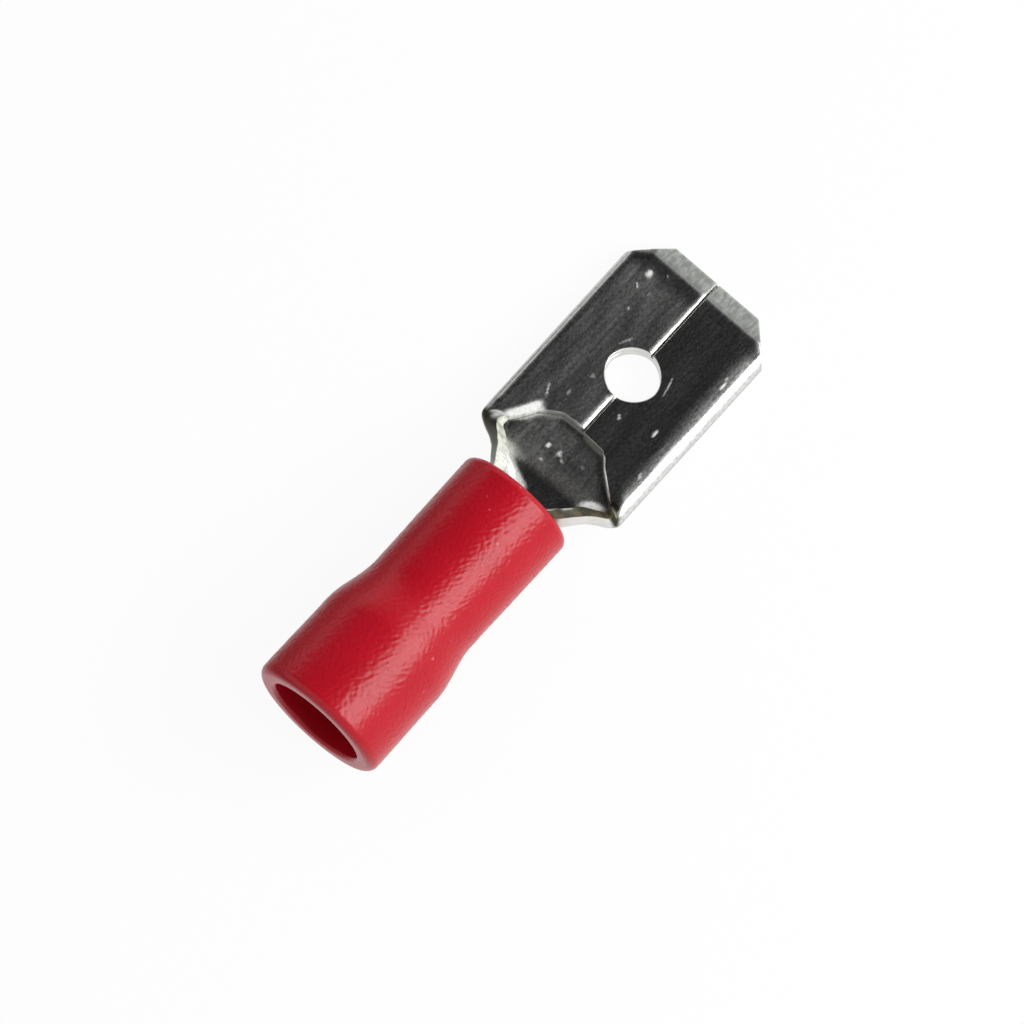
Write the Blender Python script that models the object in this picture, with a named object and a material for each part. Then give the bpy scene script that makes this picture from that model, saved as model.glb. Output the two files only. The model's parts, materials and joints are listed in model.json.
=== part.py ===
"""Pre-insulated male spade terminal: a folded tin-plated tab and its red sleeve.

Both pieces are drawn in the terminal's own frame: the barrel's axis is X, the wire
goes in at x = 0, the tab's tip points along +X and the tab's seam faces +Z. A parent
empty then lays the whole terminal down the way it comes to rest, on the sleeve's bell
and the lower edge of the tab's tip, with the origin under the middle of the part.
"""

from math import atan2, cos, pi, radians, sin

import bmesh
import bpy
from mathutils import Matrix, Vector

MM = 0.001
SMOOTH_UP_TO = 35  # degrees between faces that still look like one surface
CUTTER_MARGIN = 0.5 * MM  # how far every cutter reaches past what it cuts

# Sheet that the terminal is folded from
SHEET = 0.39 * MM
LAYER_GAP = 0.02 * MM  # air left between the two layers of the tab
LEAST_FLAT = 0.02 * MM  # shortest straight run kept on either side of a fold
FOLD_SEGMENTS = 8
FLAT_SEGMENTS = 2

# Tab
TAB_LENGTH = 8.55 * MM  # tip to shoulders
TAB_WIDTH = 6.3 * MM
TAB_DROP = 0.60 * MM  # middle of the tab's thickness below the barrel's axis
SEAM_GAP = 0.12 * MM
CHAMFER = 1.25 * MM
TIP_THICKNESS = 0.40 * MM
TIP_BEVEL_LENGTH = 0.72 * MM
HOLE_DIAMETER = 2.05 * MM
HOLE_FROM_TIP = 4.45 * MM
HOLE_SEGMENTS = 40

# Arch cut into the folded layer between the seam and the shoulders
ARCH_DEPTH = 1.45 * MM
ARCH_FLAT_WIDTH = 1.9 * MM
FLAP_AT_SHOULDER = 0.25 * MM  # width of the folded layer that is left at the shoulders
FLAP_LIFT_SHARE = 0.8  # share of the arch's depth in which the folded layer lifts
ARCH_STEP = 0.02 * MM  # length in which the folded layer steps back at the arch
ARCH_STATIONS = 8

# Trough between the shoulders and the sleeve
NECK_LENGTH = 1.9 * MM
NECK_WALL_RISE = 0.85 * MM  # straight part of the upright wall where it is tallest
WALL_PEAK_SHARE = 0.6  # share of the neck's length at which that is
NECK_NARROWING = 0.85  # under 1, the sides come in early behind the shoulders
NECK_ROUNDING = 1.3  # over 1, the floor stays flat for longer
MOUTH_WIDTH = 3.36 * MM  # outside width of the trough where it enters the sleeve
FLOOR_SINK_LENGTH = 1.0 * MM  # length behind the shoulders in which the floor sinks to the barrel's
NECK_STATIONS = 14

# Barrel inside the sleeve
BARREL_DIAMETER = 2.5 * MM
BARREL_LENGTH = 5.2 * MM
BARREL_SEAM_GAP = 0.12 * MM
CLOSING_LENGTH = 1.3 * MM  # length over which the trough's walls roll shut
CLOSING_STATIONS = 10

# Sleeve
SLEEVE_LENGTH = 10.72 * MM
BARREL_CLEARANCE = 0.02 * MM
BARREL_END_ROOM = 0.10 * MM
FRONT_WALL = 0.99 * MM
WAIST_WALL = 0.965 * MM
FRONT_ROUNDING = 0.30 * MM
LEAD_IN_LENGTH = 1.3 * MM
LEAD_IN_DEPTH = 0.60 * MM  # how far the lead-in widens the bore at the front
ENTRY_DIAMETER = 3.74 * MM
ENTRY_ROUNDING = 0.15 * MM
FUNNEL_LENGTH = 1.0 * MM
BELL_WALL = 0.77 * MM
BELL_LENGTH = 3.5 * MM
BELL_TAPER = 0.04 * MM  # how much slimmer the bell is at the flare than at its mouth
FLARE_LENGTH = 2.2 * MM
LIP_ROUNDING = 0.35 * MM
ROUNDING_SEGMENTS = 6
STRAIGHT_SEGMENTS = 4
FLARE_SEGMENTS = 12
SLEEVE_SEGMENTS = 64

EXPOSED_LENGTH = TAB_LENGTH + NECK_LENGTH
OVERALL_LENGTH = EXPOSED_LENGTH + SLEEVE_LENGTH
TAB_THICKNESS = 2 * SHEET + LAYER_GAP
FOLD_RADIUS = (SHEET + LAYER_GAP) / 2
BARREL_RADIUS = (BARREL_DIAMETER - SHEET) / 2
CLOSED_LENGTH = EXPOSED_LENGTH + CLOSING_LENGTH  # tip to where the barrel is rolled shut
WALL_PEAK = TAB_LENGTH + WALL_PEAK_SHARE * NECK_LENGTH


def clear_scene():
    for old in list(bpy.data.objects):
        bpy.data.objects.remove(old)


def make_material(name, colour, roughness, metallic):
    material = bpy.data.materials.new(name)
    material.use_nodes = True
    surface = material.node_tree.nodes["Principled BSDF"]
    surface.inputs["Base Color"].default_value = (*colour, 1.0)
    surface.inputs["Roughness"].default_value = roughness
    surface.inputs["Metallic"].default_value = metallic
    return material


def make_object(name, mesh_builder, material=None, parent=None):
    """An object from a bmesh, shaded smooth up to its sharp edges."""
    mesh = bpy.data.meshes.new(name)
    mesh_builder.to_mesh(mesh)
    mesh_builder.free()
    mesh.shade_smooth()
    mesh.set_sharp_from_angle(angle=radians(SMOOTH_UP_TO))
    if material:
        mesh.materials.append(material)
    made = bpy.data.objects.new(name, mesh)
    bpy.context.scene.collection.objects.link(made)
    made.parent = parent
    return made


def ease(value, start, end):
    """0 before start, 1 after end, and a smooth S between them."""
    share = min(max((value - start) / (end - start), 0.0), 1.0)
    return share * share * (3 - 2 * share)


def mix(first, second, share):
    return first + (second - first) * share


def section_at(from_tip):
    """Half of the folded sheet's middle line at one distance behind the tip.

    The sheet lies flat to floor_half from the centre, turns up through fold_angle on
    fold_radius, and runs on straight for arm: the tab's folded layer, then the trough's
    upright wall, then nothing where the barrel is rolled shut.
    """
    narrowing = ease(from_tip, TAB_LENGTH, EXPOSED_LENGTH) ** NECK_NARROWING
    wall_half = mix(TAB_WIDTH / 2 - SHEET / 2, MOUTH_WIDTH / 2 - SHEET / 2, narrowing)
    wall_half = mix(wall_half, BARREL_RADIUS, ease(from_tip, EXPOSED_LENGTH, CLOSED_LENGTH))
    rounding = ease(from_tip, TAB_LENGTH, EXPOSED_LENGTH + CLOSING_LENGTH / 3) ** NECK_ROUNDING
    fold_radius = min(mix(FOLD_RADIUS, BARREL_RADIUS, rounding), wall_half - LEAST_FLAT)
    floor_half = wall_half - fold_radius

    seam_angle = BARREL_SEAM_GAP / 2 / BARREL_RADIUS
    opening = ease(from_tip, TAB_LENGTH - FLAP_LIFT_SHARE * ARCH_DEPTH, WALL_PEAK)
    closing = ease(from_tip, EXPOSED_LENGTH - NECK_LENGTH / 10, CLOSED_LENGTH)
    fold_angle = pi - (pi / 2) * opening + (pi / 2 - seam_angle) * closing

    flat_half = TAB_WIDTH / 2 - TAB_THICKNESS / 2
    behind_arch = from_tip - (TAB_LENGTH - ARCH_DEPTH)
    if behind_arch < 0:
        arm = flat_half - SEAM_GAP / 2
    elif behind_arch < ARCH_DEPTH:
        arm = mix(flat_half - ARCH_FLAT_WIDTH / 2, FLAP_AT_SHOULDER, behind_arch / ARCH_DEPTH)
    else:
        arm = mix(FLAP_AT_SHOULDER, NECK_WALL_RISE, ease(from_tip, TAB_LENGTH, WALL_PEAK))
        arm *= 1 - ease(from_tip, WALL_PEAK, EXPOSED_LENGTH + 0.8 * LEAD_IN_LENGTH)
    arm = max(arm, LEAST_FLAT)

    sinking = ease(from_tip, TAB_LENGTH, TAB_LENGTH + FLOOR_SINK_LENGTH)
    floor_level = mix(-TAB_DROP - FOLD_RADIUS, -BARREL_RADIUS, sinking)
    return floor_half, fold_radius, fold_angle, arm, floor_level


def half_line(floor_half, fold_radius, fold_angle, arm, floor_level):
    """(y, z, turn) along the sheet's middle line from the centre to the cut edge."""
    points = []
    for i in range(FLAT_SEGMENTS):
        points.append((floor_half * i / FLAT_SEGMENTS, floor_level, 0.0))
    for i in range(FOLD_SEGMENTS + 1):
        turn = fold_angle * i / FOLD_SEGMENTS
        y = floor_half + fold_radius * sin(turn)
        z = floor_level + fold_radius * (1 - cos(turn))
        points.append((y, z, turn))
    y, z, turn = points[-1]
    for i in range(1, FLAT_SEGMENTS + 1):
        along = arm * i / FLAT_SEGMENTS
        points.append((y + along * cos(turn), z + along * sin(turn), turn))
    return points


def section_ring(from_tip):
    """The closed outline of the sheet's section: round outside, then back inside."""
    half = half_line(*section_at(from_tip))
    line = [(-y, z, -turn) for y, z, turn in reversed(half[1:])] + half
    x = OVERALL_LENGTH - from_tip
    outside = []
    inside = []
    for y, z, turn in line:
        across = Vector((0.0, sin(turn), -cos(turn))) * SHEET / 2
        middle = Vector((x, y, z))
        outside.append(middle + across)
        inside.append(middle - across)
    return outside + inside[::-1]


def section_stations():
    """Distances behind the tip at which the folded sheet gets a section."""
    arch = TAB_LENGTH - ARCH_DEPTH
    stations = [0.0, arch - ARCH_STEP]
    for i in range(ARCH_STATIONS):
        stations.append(mix(arch, TAB_LENGTH, i / ARCH_STATIONS))
    for i in range(NECK_STATIONS):
        stations.append(mix(TAB_LENGTH, EXPOSED_LENGTH, i / NECK_STATIONS))
    for i in range(CLOSING_STATIONS + 1):
        stations.append(mix(EXPOSED_LENGTH, CLOSED_LENGTH, i / CLOSING_STATIONS))
    stations.append(EXPOSED_LENGTH + BARREL_LENGTH)
    return stations


def loft_sheet():
    """The folded sheet as one closed solid, from the tip to the barrel's end."""
    shape = bmesh.new()
    rings = []
    for station in section_stations():
        rings.append([shape.verts.new(point) for point in section_ring(station)])
    count = len(rings[0])
    for ring, following in zip(rings, rings[1:]):
        for i in range(count):
            j = (i + 1) % count
            shape.faces.new((ring[i], ring[j], following[j], following[i]))
    for ring, turned in ((rings[0], True), (rings[-1], False)):
        for i in range(count // 2 - 1):
            corners = (ring[i], ring[i + 1], ring[-2 - i], ring[-1 - i])
            shape.faces.new(corners if turned else corners[::-1])
    bmesh.ops.recalc_face_normals(shape, faces=shape.faces)
    return shape


def make_cutter(name, outline, depth, turn, parent):
    """A prism on a closed outline, depth long along its own Z, turned into place."""
    shape = bmesh.new()
    foot = [shape.verts.new((x, y, -depth / 2)) for x, y in outline]
    base = shape.faces.new(foot)
    raised = bmesh.ops.extrude_face_region(shape, geom=[base])["geom"]
    tops = [item for item in raised if isinstance(item, bmesh.types.BMVert)]
    bmesh.ops.translate(shape, verts=tops, vec=(0, 0, depth))
    bmesh.ops.recalc_face_normals(shape, faces=shape.faces)
    bmesh.ops.transform(shape, matrix=turn, verts=shape.verts)
    cutter = make_object(name, shape, parent=parent)
    cutter.hide_render = True
    cutter.display_type = "WIRE"
    return cutter


def cut(target, cutter):
    boolean = target.modifiers.new(cutter.name, "BOOLEAN")
    boolean.operation = "DIFFERENCE"
    boolean.solver = "EXACT"
    boolean.object = cutter


def hole_cutter(parent):
    centre = OVERALL_LENGTH - HOLE_FROM_TIP
    radius = HOLE_DIAMETER / 2
    outline = []
    for i in range(HOLE_SEGMENTS):
        angle = 2 * pi * (i + 0.5) / HOLE_SEGMENTS
        outline.append((centre + radius * cos(angle), radius * sin(angle)))
    lower = Matrix.Translation((0, 0, -TAB_DROP))
    depth = TAB_THICKNESS + 2 * CUTTER_MARGIN
    return make_cutter("hole_cutter", outline, depth, lower, parent)


def corner_cutter(side, parent):
    """The triangle that leaves a 45 degree corner, side +1 or -1 across the tab."""
    tip = OVERALL_LENGTH + CUTTER_MARGIN
    edge = TAB_WIDTH / 2 + CUTTER_MARGIN
    reach = CHAMFER + 2 * CUTTER_MARGIN
    outline = [(tip, side * edge), (tip - reach, side * edge), (tip, side * (edge - reach))]
    lower = Matrix.Translation((0, 0, -TAB_DROP))
    depth = TAB_THICKNESS + 2 * CUTTER_MARGIN
    name = "left_corner_cutter" if side > 0 else "right_corner_cutter"
    return make_cutter(name, outline, depth, lower, parent)


def bevel_cutter(side, parent):
    """The wedge that thins the tip, side +1 on the seam face or -1 underneath."""
    slope = (TAB_THICKNESS - TIP_THICKNESS) / 2 / TIP_BEVEL_LENGTH
    start = OVERALL_LENGTH - TIP_BEVEL_LENGTH - CUTTER_MARGIN
    end = OVERALL_LENGTH + CUTTER_MARGIN
    at_start = TAB_THICKNESS / 2 + slope * CUTTER_MARGIN
    at_end = TIP_THICKNESS / 2 - slope * CUTTER_MARGIN
    above = TAB_THICKNESS / 2 + CUTTER_MARGIN
    outline = [(start, side * at_start), (end, side * at_end), (end, side * above), (start, side * above)]
    stand = Matrix.Translation((0, 0, -TAB_DROP)) @ Matrix.Rotation(pi / 2, 4, "X")
    name = "seam_side_bevel_cutter" if side > 0 else "underside_bevel_cutter"
    return make_cutter(name, outline, TAB_WIDTH + 2 * CUTTER_MARGIN, stand, parent)


def make_terminal(parent):
    tinned = make_material("tinned_brass", (0.62, 0.61, 0.60), 0.28, 1.0)
    terminal = make_object("folded_terminal", loft_sheet(), tinned, parent)
    cut(terminal, hole_cutter(parent))
    for side in (1, -1):
        cut(terminal, corner_cutter(side, parent))
        cut(terminal, bevel_cutter(side, parent))
    return terminal


def arc(centre, radius, start, end):
    """(x, r) points of a rounding in the sleeve's profile, angles in degrees."""
    points = []
    for i in range(ROUNDING_SEGMENTS + 1):
        angle = radians(mix(start, end, i / ROUNDING_SEGMENTS))
        points.append((centre[0] + radius * cos(angle), centre[1] + radius * sin(angle)))
    return points


def s_curve(start, end, steps):
    """(x, r) points that leave start level and arrive at end level, both left out."""
    points = []
    for i in range(1, steps):
        share = i / steps
        points.append((mix(start[0], end[0], share), mix(start[1], end[1], ease(share, 0, 1))))
    return points


def sleeve_profile():
    """The sleeve's wall in section, from its front round the outside and back inside."""
    front = SLEEVE_LENGTH
    bore_r = BARREL_DIAMETER / 2 + BARREL_CLEARANCE
    entry_r = ENTRY_DIAMETER / 2
    front_r = bore_r + FRONT_WALL
    bell_r = entry_r + BELL_WALL
    crown = (front - FRONT_ROUNDING, front_r)
    waist = (BELL_LENGTH + FLARE_LENGTH, bore_r + WAIST_WALL)
    flare_end = (BELL_LENGTH, bell_r - BELL_TAPER)

    outer = arc((front - FRONT_ROUNDING, front_r - FRONT_ROUNDING), FRONT_ROUNDING, 0, 90)
    outer += s_curve(crown, waist, STRAIGHT_SEGMENTS) + [waist]
    outer += s_curve(waist, flare_end, FLARE_SEGMENTS) + [flare_end]
    outer += arc((LIP_ROUNDING, bell_r - LIP_ROUNDING), LIP_ROUNDING, 90, 180)

    funnel_end = (front - BARREL_LENGTH - BARREL_END_ROOM, bore_r)
    funnel_start = (funnel_end[0] - FUNNEL_LENGTH, entry_r)
    inner = arc((ENTRY_ROUNDING, entry_r + ENTRY_ROUNDING), ENTRY_ROUNDING, 180, 270)
    inner += [funnel_start] + s_curve(funnel_start, funnel_end, STRAIGHT_SEGMENTS) + [funnel_end]
    inner += [(front - LEAD_IN_LENGTH, bore_r), (front, bore_r + LEAD_IN_DEPTH)]
    return outer + inner


def make_sleeve(parent):
    red = make_material("red_pvc", (0.50, 0.01, 0.02), 0.35, 0.0)
    profile = bmesh.new()
    corners = [profile.verts.new((x, 0.0, r)) for x, r in sleeve_profile()]
    for corner, following in zip(corners, corners[1:] + corners[:1]):
        profile.edges.new((corner, following))
    sleeve = make_object("insulating_sleeve", profile, red, parent)
    turning = sleeve.modifiers.new("turned", "SCREW")
    turning.axis = "X"
    turning.angle = 2 * pi
    turning.steps = SLEEVE_SEGMENTS
    turning.render_steps = SLEEVE_SEGMENTS
    turning.use_merge_vertices = True
    turning.merge_threshold = 0.001 * MM
    turning.use_normal_calculate = True
    return sleeve


def rest_matrix():
    """Lays the terminal on the line that touches the bell and the tab's tip from below."""
    sleeve = sleeve_profile()
    bevel_start = (OVERALL_LENGTH - TIP_BEVEL_LENGTH, -TAB_DROP - TAB_THICKNESS / 2)
    tip_edge = (OVERALL_LENGTH, -TAB_DROP - TIP_THICKNESS / 2)
    tilts = []
    for x, z in (bevel_start, tip_edge):
        tilts.append(max(atan2(z + r, x - back) for back, r in sleeve))
    tilt = min(tilts)

    lowest = min(-back * sin(tilt) - r * cos(tilt) for back, r in sleeve)
    rearmost = min(back * cos(tilt) - r * sin(tilt) for back, r in sleeve)
    tip_top = -TAB_DROP + TIP_THICKNESS / 2
    foremost = OVERALL_LENGTH * cos(tilt) + tip_top * sin(tilt)
    centre = (rearmost + foremost) / 2
    return Matrix.Translation((-centre, 0, -lowest)) @ Matrix.Rotation(tilt, 4, "Y")


def main():
    clear_scene()
    frame = bpy.data.objects.new("rest_frame", None)
    bpy.context.scene.collection.objects.link(frame)
    frame.matrix_world = rest_matrix()
    make_terminal(frame)
    make_sleeve(frame)


main()
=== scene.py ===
import json
import math
import bmesh
import bpy
import numpy as np
from mathutils import Matrix


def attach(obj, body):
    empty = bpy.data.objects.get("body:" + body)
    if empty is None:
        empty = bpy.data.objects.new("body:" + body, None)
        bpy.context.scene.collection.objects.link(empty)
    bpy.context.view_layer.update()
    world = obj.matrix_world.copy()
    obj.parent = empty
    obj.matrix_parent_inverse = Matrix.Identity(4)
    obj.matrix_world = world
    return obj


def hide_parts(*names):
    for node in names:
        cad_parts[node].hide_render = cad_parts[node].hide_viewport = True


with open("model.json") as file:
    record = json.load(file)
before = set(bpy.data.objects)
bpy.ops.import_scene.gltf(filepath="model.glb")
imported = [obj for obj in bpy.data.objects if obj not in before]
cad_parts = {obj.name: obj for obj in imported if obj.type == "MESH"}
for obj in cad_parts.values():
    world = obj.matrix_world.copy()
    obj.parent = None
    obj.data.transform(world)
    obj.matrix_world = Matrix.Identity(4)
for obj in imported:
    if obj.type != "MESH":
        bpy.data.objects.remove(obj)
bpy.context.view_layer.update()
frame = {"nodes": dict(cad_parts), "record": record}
mm = 0.001

# The folded terminal's sizes. Lengths are in millimetres until a mesh is written.
terminal = {
    "sheet": 0.39,
    "layerGap": 0.02,
    "tabLength": 8.55,
    "tabWidth": 6.3,
    "tabDrop": 0.60,
    "chamfer": 1.25,
    "tipThickness": 0.40,
    "tipBevel": 0.65,
    "bevelSoftness": 0.03,
    "bevelFades": (1.4, 1.9),
    "holeHalfLength": 0.97,
    "holeHalfWidth": 1.005,
    "holePower": 1.80,
    "holeFromTip": 4.45,
    "archDepth": 1.45,
    "neckLength": 1.9,
    "barrelRadius": 1.055,
    "barrelLength": 5.2,
    "closingLength": 1.3,
    "floorSink": (8.0, 9.6),
    "edgeRounding": 0.030,
    "thinnest": 0.02,
    "seamPlace": -0.08,
    "seamHalfGap": (0.003, 0.005),
    "seamWidth": (0.205, 0.310),
    "seamDepth": (0.033, 0.053),
    "seamGrowsFrom": 0.5,
    "mostSlant": 1.45,
    "curl": 3,
    "curlLength": 0.75,
    "curlEnds": (8.2, 8.5),
    # rows of the bevel and of the plain tab, columns on either side of the tip's corner
    "bevelRows": 9,
    "plainRows": 46,
    "floorColumns": (16, 7),
    "foldColumns": 16,
    "armColumns": (12, 25),
    "edgeColumns": 4,
    "seamColumns": 9,
}
# The turned sleeve's sizes, and the spacing and number of its mesh's rings and columns
sleeve = {
    "length": 10.72,
    "boreRadius": 1.27,
    "frontWall": 0.99,
    "waistWall": 0.965,
    "frontRounding": 0.30,
    "leadLength": 1.3,
    "leadDepth": 0.60,
    "entryRadius": 1.87,
    "entryRounding": 0.15,
    "funnelLength": 1.0,
    "bellWall": 0.77,
    "bellLength": 3.5,
    "bellTaper": 0.04,
    "flareLength": 2.2,
    "lipRounding": 0.35,
    "step": 0.048,
    "segments": 320,
}
# The sleeve's moulded skin: short strokes that lean both ways, and a rounded peel
relief = {
    "seed": 7,
    "depth": 0.0086,
    "strokeLength": 0.20,
    "strokeWidth": 0.075,
    "angle": 32,
    "sectors": 5,
    "sectorTurn": 28,
    "wander": 1.4,
    "wanderRate": 1.7,
    "peel": 0.0030,
    "peelSize": 0.22,
    "most": 0.010,
    "sunk": 0.009,
    "meanRadius": 2.4,
    "fades": (0.5, 0.4),
}


def asColumn(values):
    return np.asarray(values)[:, None]


def ease(value, start, end):
    # 0 before start, 1 after end, a smooth S between
    share = np.clip((np.asarray(value, float) - start) / (end - start), 0, 1)
    return share * share * (3 - 2 * share)


def mix(first, second, share):
    return first + (second - first) * share


# The terminal lies tilted: its own axes and its entry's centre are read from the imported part
def terminalAxes():
    mounts = {m["name"]: np.array(m["axis"]) for m in frame["record"]["mounts"]}
    up = mounts["tab_seam_face"]
    along = -mounts["wire_entry_face"]
    across = np.cross(up, along)
    mesh = frame["nodes"]["insulating_sleeve"].data
    points = np.empty(len(mesh.vertices) * 3, np.float32)
    mesh.vertices.foreach_get("co", points)
    points = points.reshape(-1, 3).astype(float)
    height = points @ up
    origin = along * (points @ along).min() + up * (height.min() + height.max()) / 2
    return origin, np.stack([along, across, up])


origin, axes = terminalAxes()


def toRow(points):
    # points in the terminal's own frame, millimetres, to the row frame in metres
    return origin + (np.asarray(points, float) * mm) @ axes


def toRowDirection(direction):
    turned = np.asarray(direction, float) @ axes
    return turned / np.linalg.norm(turned)


def newMesh(name, points, faces):
    # points are in metres
    mesh = bpy.data.meshes.new(name)
    mesh.from_pydata(points.tolist(), [], faces.tolist())
    mesh.update()
    return mesh


def addAttribute(mesh, name, values):
    layer = mesh.attributes.new(name, "FLOAT", "POINT")
    layer.data.foreach_set("value", np.asarray(values, np.float32).ravel())


def newObject(name, data):
    made = bpy.data.objects.new(name, data)
    bpy.context.scene.collection.objects.link(made)
    return made


def newPiece(name, mesh, material):
    mesh.materials.append(material)
    return newObject(name, mesh)


def quads(first, second, step):
    # quads between two runs of vertices, each quad reaching a step on
    return np.stack([first, second, second + step, first + step], -1)


def shares(count):
    # equal steps from 0 to 1, without the 0, as a row
    return np.linspace(0, 1, count + 1)[None, 1:]


def gridFaces(rows, columns, first=0, wrap=False):
    # quads between neighbouring rows and columns of a grid of vertices
    row = np.arange(rows - 1)[:, None] * columns
    column = np.arange(columns if wrap else columns - 1)[None, :]
    return quads(row + column, row + (column + 1) % columns, columns).reshape(-1, 4) + first


# Folded sheet. Each half of it is a grid: rows run from the tip back, columns from the middle of the
# floor, round the fold and along the arm to the cut edge. Side +1 is the left half, -1 the right.
terminalLength = terminal["tabLength"] + terminal["neckLength"] + sleeve["length"]
# half of the flat width between the tab's folds
flatHalf = terminal["tabWidth"] / 2 - terminal["sheet"] - terminal["layerGap"] / 2
quarter = np.linspace(0, np.pi / 2, terminal["edgeColumns"] + 1)
sides = {
    1: {
        "wallOuter": (
            (8.70, 3.15), (8.85, 3.10), (8.96, 2.99), (9.14, 2.71), (9.31, 2.36), (9.59, 2.01),
            (9.96, 1.74), (10.10, 1.62), (10.42, 1.45), (11.45, 1.25)),
        "foldRadius": (
            (8.60, 0.205), (8.79, 0.22), (9.00, 0.30), (9.22, 0.45), (9.40, 0.70), (9.64, 0.90),
            (10.00, 1.05), (10.42, 1.05), (11.45, 1.03)),
        "foldAngle": (
            (7.40, 177), (8.25, 175), (8.47, 166), (8.62, 152), (8.79, 140), (9.00, 127), (9.22, 115),
            (9.40, 110), (9.64, 107), (10.00, 103), (10.42, 100), (10.90, 138), (11.45, 176)),
        "arm": (
            (7.26, 1.56), (7.53, 1.14), (8.02, 0.86), (8.47, 0.55), (8.62, 0.62), (8.79, 0.70),
            (9.00, 0.81), (9.22, 0.86), (9.40, 0.70), (9.64, 0.68), (10.00, 0.72), (10.42, 0.95),
            (11.45, 0.02)),
        "archFrom": 7.03,
        "archStart": 0.84,
        "bevelFrom": (7.36, 1.46),
        "bevelTo": (8.46, 2.24),
        "bevelWidth": (0.34, 0.26),
        "bevelDepth": 0.045,
        "cornerBevel": 0.50,
        "sag": 0.012,
        "floorDull": 0.75,
    },
    -1: {
        "wallOuter": (
            (8.65, 3.15), (8.77, 3.13), (8.98, 2.94), (9.19, 2.57), (9.41, 2.30), (9.72, 2.07),
            (10.10, 1.80), (10.42, 1.60), (11.45, 1.25)),
        "foldRadius": (
            (8.50, 0.205), (8.75, 0.22), (9.04, 0.35), (9.30, 0.58), (9.55, 0.80), (9.89, 0.95),
            (10.30, 1.05), (11.45, 1.03)),
        "foldAngle": (
            (7.40, 177), (8.35, 176), (8.52, 168), (8.65, 148), (8.75, 125), (8.86, 110), (9.04, 104),
            (9.30, 97), (9.55, 94), (10.30, 93), (10.90, 132), (11.45, 176)),
        "arm": (
            (7.40, 1.52), (7.63, 1.33), (8.06, 0.82), (8.45, 0.36), (8.60, 0.26), (8.72, 0.34),
            (8.83, 0.49), (9.04, 0.65), (9.55, 0.70), (9.89, 0.78), (10.30, 0.90), (11.45, 0.02)),
        "archFrom": 7.15,
        "archStart": 0.98,
        "bevelFrom": (7.25, 1.12),
        "bevelTo": (8.60, 2.40),
        "bevelWidth": (0.09, 0.06),
        "bevelDepth": 0.05,
        "cornerBevel": 0.55,
        "sag": 0.036,
        "floorDull": 0.5,
    },
}


def holeHalf(fromTip, grow=0.0):
    # half the hole's width at each row, from |a|^p + |b|^p = 1, a little flatter on its diagonals
    t = terminal
    a = np.abs(np.asarray(fromTip) - t["holeFromTip"]) / (t["holeHalfLength"] + grow)
    chord = np.clip(1 - a ** t["holePower"], 0, None) ** (1 / t["holePower"])
    return (t["holeHalfWidth"] + grow) * chord


def holeDistance(fromTip, across):
    # distance from the hole's rim, nearly, from how far the same formula is from 1
    t = terminal
    a = np.abs(fromTip - t["holeFromTip"]) / t["holeHalfLength"]
    b = np.abs(across) / t["holeHalfWidth"]
    return (a ** t["holePower"] + b ** t["holePower"]) ** (1 / t["holePower"]) - 1


def alongTable(fromTip, table, softness=0.13):
    # straight runs between (distance behind the tip, value) pairs, averaged over twice the softness
    places, values = np.array(table, float).T
    step = 0.01
    fine = np.arange(0, terminalLength, step)
    half = max(1, round(softness / step))
    kernel = np.hanning(2 * half + 3)[1:-1]
    padded = np.pad(np.interp(fine, places, values), half, mode="edge")
    return np.interp(fromTip, fine, np.convolve(padded, kernel / kernel.sum(), "valid"))


def stations():
    # distances behind the tip of the rows behind the front part, closer where the sheet is cut or bent;
    # the last number of a run counts its rows, both ends included
    t = terminal
    hole, reach = t["holeFromTip"], t["holeHalfLength"]
    rim = reach + t["edgeRounding"] * (1 - np.sin(quarter))
    arch = t["tabLength"] - t["archDepth"]
    neckEnd = t["tabLength"] + t["neckLength"]
    shut = neckEnd + t["closingLength"]
    return np.concatenate([
        hole - rim[:-1],
        hole - reach * np.cos(np.linspace(0, np.pi, 37)),
        hole + rim[-2::-1],
        np.linspace(hole + rim[0], arch - 0.15, 24)[1:],
        np.linspace(arch - 0.14, arch + 0.10, 19),
        np.linspace(arch + 0.14, neckEnd, 84),
        np.linspace(neckEnd, shut, 18)[1:],
        np.linspace(shut, neckEnd + t["barrelLength"], 12)[1:],
    ])


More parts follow.
